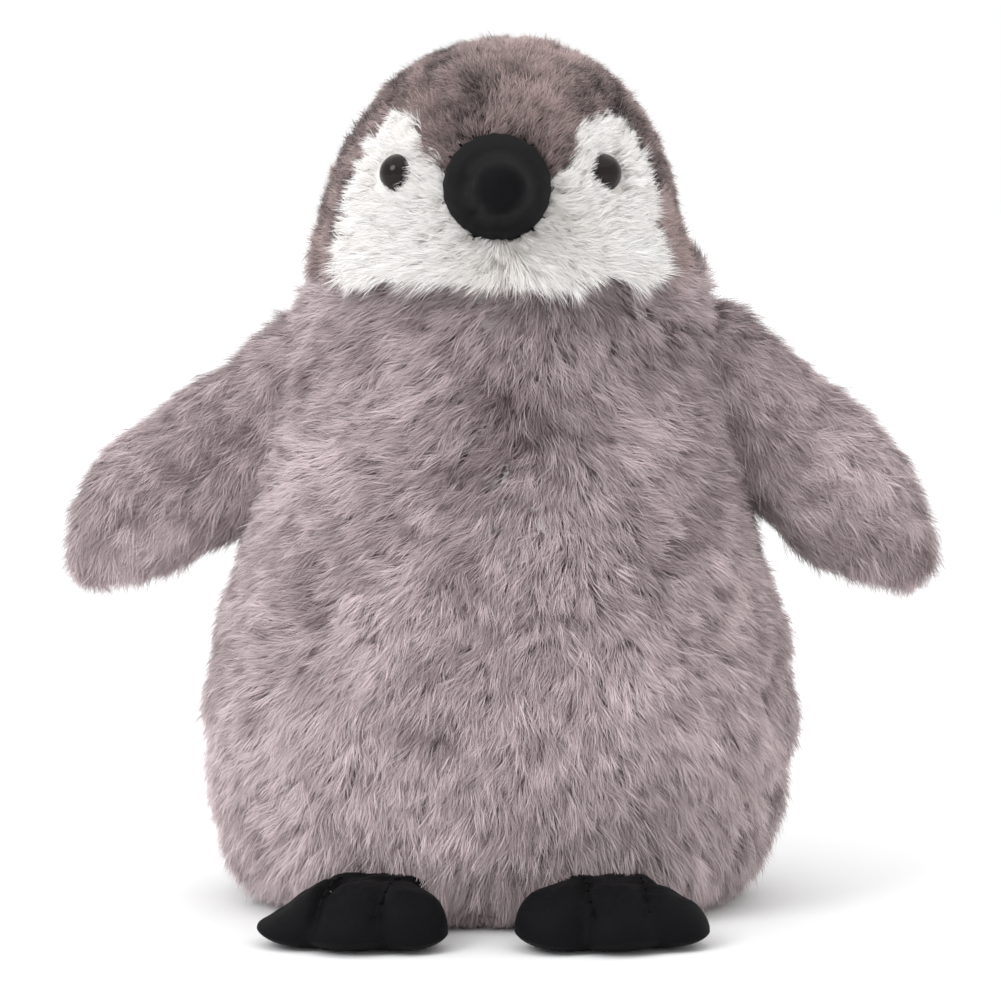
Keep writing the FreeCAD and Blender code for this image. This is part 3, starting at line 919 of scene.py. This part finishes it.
def beak_rings(low, high):
    """The rings of points of the beak, from its rim to its small turned-up tip."""
    outline = beak_outline((high[0] - low[0]) / 2, high[1] - low[1])
    angle = (np.arange(BEAK_COLUMNS) / BEAK_COLUMNS * 2 * np.pi)[None]
    reach, ahead = outline[:, :1], outline[:, 1:]
    share = ahead / (high[1] - low[1])
    wide = np.maximum(reach - beak_dents(angle, share) * (reach > 0), 0)
    points = np.stack(
        [
            (low[0] + high[0]) / 2 + wide * np.cos(angle) + BEAK_TIP_ASIDE * share**2,
            high[1] - ahead + 0 * angle,
            (low[2] + high[2]) / 2 + wide * np.sin(angle) + BEAK_TIP_RISE * share**2,
        ],
        axis=-1,
    )
    points[..., 1] += Noise(21, 7 * MM)(points) * 0.16 * MM
    return points


def make_beak():
    """The velour cover, its stuffing, and the stitches that hold its rim on the face."""
    low, high = (np.array(corner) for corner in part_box("beak_cover"))
    points = beak_rings(low, high)
    quads = ring_faces(*points.shape[:2])
    sizes = np.full(len(quads), 4)
    piece = make_mesh("beak_velour", points.reshape(-1, 3), quads.ravel(), sizes, [VELOUR])
    finish_piece(piece, "head", "black_velour", "beak_cover")
    rim = np.array([(low[0] + high[0]) / 2, high[1], (low[2] + high[2]) / 2])
    within = rim + (points - rim) * BEAK_FILL
    corners = np.concatenate([quads.ravel(), np.arange(BEAK_COLUMNS)[::-1]])
    sizes = np.append(sizes, BEAK_COLUMNS)
    fill = make_mesh("beak_fill", within.reshape(-1, 3), corners, sizes, [STUFFING])
    finish_piece(fill, "head", "polyester_fill", "beak_stuffing")
    shaped_copy(
        "beak_edge_stitches",
        "beak_edge_thread",
        BLACK_THREAD,
        "head",
        "black_thread",
        lambda places: places + BACKWARD * THREAD_SINK,
    )


# ---------------------------------------------------------------------------------------------------
# Flippers

FLIPPER_BARE = -20 * MM  # no hair is planted further inside the shoulder than this
# How much each flipper is drawn in, as a share of its width: its top edge over the shoulder, its top
# edge further out, and its lower edge
FLIPPER_SQUASH = {"left": (0.06, -0.03, 0.16), "right": (0.34, 0.12, -0.14)}


def flipper_shape(side, shoulder, axis):
    """What draws the two edges of a flipper in or out near its shoulder."""
    upper = np.cross(axis, BACKWARD) * SIDES[side]

    def squashed(points):
        offset = points - shoulder
        across = offset @ upper
        along = offset @ axis
        over_shoulder, top, lower = FLIPPER_SQUASH[side]
        outer = bump(along, 30 * MM, 18 * MM)
        share = (over_shoulder * step(28 * MM, 0, along) + top * outer) * step(0, 8 * MM, across)
        share = share + lower * step(0, -8 * MM, across) * step(56 * MM, 20 * MM, along)
        return points - (across * share)[:, None] * upper

    return squashed


def make_flipper(side):
    shoulder = joint_place(f"flipper_{side}_raise")
    axis = np.array([SIDES[side] * math.cos(FLIPPER_DROOP), 0, -math.sin(FLIPPER_DROOP)])
    nodes = [f"flipper_{side}_front_panel", f"flipper_{side}_back_panel"]
    reach = (SURFACE_INSET - FLIPPER_ROOT, FLIPPER_TIP - 0.05 * MM)
    surface = Turned(nodes, shoulder, axis, reach, FLIPPER_FLATTENING, closed=(True, True))
    shape = flipper_shape(side, shoulder, axis)
    rng = np.random.default_rng(3 + SIDES[side])
    roots, normals = surface.scatter(FLIPPER_PILE.spacing, rng)
    along = (roots - shoulder) @ axis
    end = step(FLIPPER_TIP - 40 * MM, FLIPPER_TIP, along)
    flow = axis - UPWARD * (0.25 + 0.9 * end[:, None])
    flow = lean(normals, ruffled(roots, normals, lean(normals, flow), 0.3, 0.4))
    roots = shape(roots + normals * (height_slow(roots) * UNEVENNESS)[:, None])
    keep = along > FLIPPER_BARE
    front = roots[:, 1] < shoulder[1]
    body = f"flipper_{side}"
    for node, mine in zip(nodes, (keep & front, keep & ~front)):
        place = roots[mine]
        hair = grow(FLIPPER_PILE, place, normals[mine], flow[mine], rng, 1 + 0.2 * end[mine])
        # the left flipper's hair is put darker as painted shade
        numbers = shade_numbers(place, FLIPPER_PILE, rng, len(BODY_SHADES), FLIPPER_SHADE[side])
        name = node.replace("_panel", "_fur")
        pile_pieces(name, body, "body_fur", hair, BODY_SHADES, numbers, FLIPPER_PILE)
        depth, thickness = FLIPPER_CLOTH_DEPTH, FLIPPER_CLOTH
        cloth_panel(node, surface, depth, thickness, FUR_CLOTH, body, "body_fur", shape)
    fill = shaped_copy(f"{body}_stuffing", f"{body}_fill", STUFFING, body, "polyester_fill", shape)


# ---------------------------------------------------------------------------------------------------
# Feet

# Toes of each foot: how far across, how far ahead of the ankle, and the radius
TOES = {
    "left": [(-15 * MM, 33.0 * MM, 12 * MM), (2 * MM, 35.0 * MM, 13 * MM), (16 * MM, 31 * MM, 11.5 * MM)],
    "right": [(-15 * MM, 31.5 * MM, 12 * MM), (1 * MM, 35.0 * MM, 13 * MM), (16 * MM, 32 * MM, 11 * MM)],
}
SPLAY = {"left": math.radians(4), "right": math.radians(12)}
# Creases over each instep: how far across at the front, how deep and how wide
CREASES = {
    "left": [(-9 * MM, 2.4 * MM, 2.4 * MM), (11 * MM, 0.8 * MM, 3.0 * MM)],
    "right": [(-8 * MM, 3.4 * MM, 2.0 * MM), (9 * MM, 1.6 * MM, 2.2 * MM)],
}
# How much lower a foot's upper is at its outer end, at its inner end and at its toes
OUTER_SLOPE = {"left": 0.12, "right": 0.45}
INNER_SLOPE, TOE_SLOPE = 0.05, 0.16
# The seam between upper and sole: its height at the ankle, how much lower it is at the toes, its waves
SEAM_HEIGHT, SEAM_DROP = 6.5 * MM, 2.6 * MM
SEAM_WAVE, SEAM_WAVE_LENGTH = 0.8 * MM, 5.5 * MM
HEELS = [(-6 * MM, 4 * MM, 12 * MM), (6 * MM, 4 * MM, 12 * MM)]  # two circles, as for the toes
FOOT_WAIST = 19 * MM  # the radius of the circle between heels and toes
FOOT_MIDDLE = 22 * MM
FOOT_HEIGHT = 17.2 * MM
FOOT_COLUMNS = 240
FOOT_FILL = 0.8  # how much of a foot its stuffing takes up
JOINING = 1.1 * MM  # how softly a foot's circles run into each other


def foot_outline(side, angle):
    """How far the foot's seam is from its middle at each angle, where 90 degrees is straight ahead."""
    way = np.stack([np.cos(angle), np.sin(angle)], axis=-1)
    circles = TOES[side] + HEELS + [(0, FOOT_MIDDLE, FOOT_WAIST)]
    reached = []
    for across, ahead, radius in circles:
        centre = np.array([across, ahead - FOOT_MIDDLE])
        along = way @ centre
        under = radius**2 - (centre @ centre - along**2)
        reached.append(along + np.sqrt(np.maximum(under, 0)) - np.where(under < 0, 1, 0))
    return JOINING * np.log(np.exp(np.array(reached) / JOINING).sum(0))


def foot_level(side, rings, across, ahead):
    """The heights of the upper and of the sole, and how much the upper domes, over a foot."""
    front = step(12 * MM, 44 * MM, ahead)
    seam = (SEAM_HEIGHT - SEAM_DROP * front) + SEAM_WAVE * np.sin(across / SEAM_WAVE_LENGTH + 1.0)
    outward = across * SIDES[side]
    outer_end, inner_end = step(8 * MM, 27 * MM, outward), step(10 * MM, 26 * MM, -outward)
    slope = 1 - OUTER_SLOPE[side] * outer_end - INNER_SLOPE * inner_end
    height = FOOT_HEIGHT * slope * (1 - TOE_SLOPE * step(30 * MM, 48 * MM, ahead))
    blunter = 3.4 * step(4 * MM, 20 * MM, -outward)
    dome = np.sqrt(np.maximum(1 - rings ** (3.6 + blunter), 0))
    top = seam + (height - seam) * dome
    for crease, depth, width in CREASES[side]:
        line = crease * (0.35 + 0.65 * step(8 * MM, 40 * MM, ahead))
        top = top - depth * bump(across, line, width) * step(15 * MM, 32 * MM, ahead) * dome**0.6
    bottom = seam * (1 - np.maximum(1 - rings**5, 0) ** 0.8)
    return top, bottom, dome


def on_foot(side, across, ahead, level):
    """Points of a foot, turned out by its splay and put at its ankle."""
    ankle = joint_place(f"foot_{side}_lift")
    turn = SPLAY[side] * SIDES[side]
    return np.stack(
        [
            ankle[0] + across * math.cos(turn) + ahead * math.sin(turn),
            ankle[1] - ahead * math.cos(turn) + across * math.sin(turn),
            np.maximum(level, 0),
        ],
        axis=-1,
    )


def foot_piece(name, points, upward, material):
    """A dome or a dish of rings of points, with its smallest ring closed."""
    rows, columns = points.shape[:2]
    quads = ring_faces(rows, columns)
    rim = np.arange(columns)
    faces = quads if upward else quads[:, ::-1]
    corners = np.concatenate([faces.ravel(), rim[::-1] if upward else rim])
    sizes = np.concatenate([np.full(len(faces), 4), [columns]])
    return make_mesh(name, points.reshape(-1, 3), corners, sizes, [material])


def make_foot(side):
    angle = np.arange(FOOT_COLUMNS) / FOOT_COLUMNS * 2 * np.pi
    edge = foot_outline(side, angle)
    near_edge = 1 - 0.18 * np.linspace(1, 0, 22)[1:] ** 1.8
    rings = np.concatenate([np.linspace(0.02, 0.82, 26), near_edge])[:, None]
    across = rings * (edge * np.cos(angle))[None]
    ahead = rings * (edge * np.sin(angle))[None] + FOOT_MIDDLE
    top, bottom, dome = foot_level(side, rings, across, ahead)
    place = np.stack([across, ahead, top], axis=-1)
    wrinkle, fine = Noise(31 + SIDES[side], 9 * MM), Noise(41, 3.2 * MM)
    top = top + (wrinkle(place) * 0.45 + fine(place) * 0.10) * MM * dome
    body = f"foot_{side}"
    upper = foot_piece(f"{body}_upper_velour", on_foot(side, across, ahead, top), True, VELOUR)
    sole = foot_piece(f"{body}_sole_velour", on_foot(side, across, ahead, bottom), False, VELOUR)
    middle = (top + bottom) / 2
    within = (across * FOOT_FILL, (ahead - FOOT_MIDDLE) * FOOT_FILL + FOOT_MIDDLE)
    over, under = (
        on_foot(side, *within, middle + (level - middle) * FOOT_FILL) for level in (top, bottom)
    )
    fill = foot_piece(f"{body}_fill", np.concatenate([over, under[::-1]]), True, STUFFING)
    for piece, node in ((upper, "upper"), (sole, "sole"), (fill, "stuffing")):
        slot = "polyester_fill" if piece is fill else "black_velour"
        finish_piece(piece, body, slot, f"{body}_{node}")


# ---------------------------------------------------------------------------------------------------
# Carried-over parts, stage, light and camera


def dress_cad_parts():
    looks = {
        "body_stuffing": STUFFING,
        "head_stuffing": STUFFING,
        "pellet_pouch": POUCH_CLOTH,
        "pellet_fill": PELLETS,
        "closing_stitches": GREY_THREAD,
    }
    for side in SIDES:
        looks[f"eye_{side}"] = EYE_PLASTIC
        looks[f"eye_washer_{side}"] = WASHER_PLASTIC
        looks[f"toe_stitches_{side}"] = BLACK_THREAD
    for node, material in looks.items():
        for slot in frame["nodes"][node].material_slots:
            slot.material = material


def make_stage():
    points = np.array([(-1, -1, 0), (1, -1, 0), (1, 1, 0), (-1, 1, 0)]) * FLOOR_REACH
    floor_material = patterned_material(
        "floor", (0.88, 0.88, 0.88), (0.90, 0.90, 0.90), 3, (0.7, 0.8), 0.0
    )
    make_mesh("floor", points, np.arange(4), np.array([4]), [floor_material])


def area_light(name, place, size, power, colour):
    light = bpy.data.lights.new(name, "AREA")
    light.shape = "DISK"
    light.size = size
    light.energy = power
    light.color = colour
    lamp = bpy.data.objects.new(name, light)
    lamp.location = place
    lamp.rotation_euler = (LIGHT_TARGET - lamp.location).to_track_quat("-Z", "Y").to_euler()
    bpy.context.scene.collection.objects.link(lamp)


def make_light():
    world = bpy.data.worlds.new("studio")
    world.use_nodes = True
    background = world.node_tree.nodes["Background"]
    background.inputs["Color"].default_value = (1, 1, 1, 1)
    background.inputs["Strength"].default_value = 1.0
    bpy.context.scene.world = world
    area_light("key", KEY_PLACE, KEY_SIZE, KEY_POWER, KEY_COLOUR)
    sun = bpy.data.lights.new("ceiling", "SUN")
    sun.energy = CEILING_STRENGTH
    sun.angle = CEILING_SPREAD
    lamp = bpy.data.objects.new("ceiling", sun)
    bpy.context.scene.collection.objects.link(lamp)


def make_camera():
    camera = bpy.data.cameras.new("camera")
    camera.lens = CAMERA_LENS
    camera.sensor_width = 36
    camera.dof.use_dof = False
    back = Vector((0, -math.cos(CAMERA_ELEVATION), math.sin(CAMERA_ELEVATION)))
    holder = bpy.data.objects.new("camera", camera)
    holder.location = CAMERA_TARGET + back * CAMERA_DISTANCE
    holder.rotation_euler = (-back).to_track_quat("-Z", "Y").to_euler()
    bpy.context.scene.collection.objects.link(holder)
    bpy.context.scene.camera = holder


bpy.context.scene.view_settings.view_transform = "Standard"
make_camera()
make_light()
make_stage()
dress_cad_parts()
make_body()
make_head()
make_beak()
for side_name in SIDES:
    make_flipper(side_name)
    make_foot(side_name)
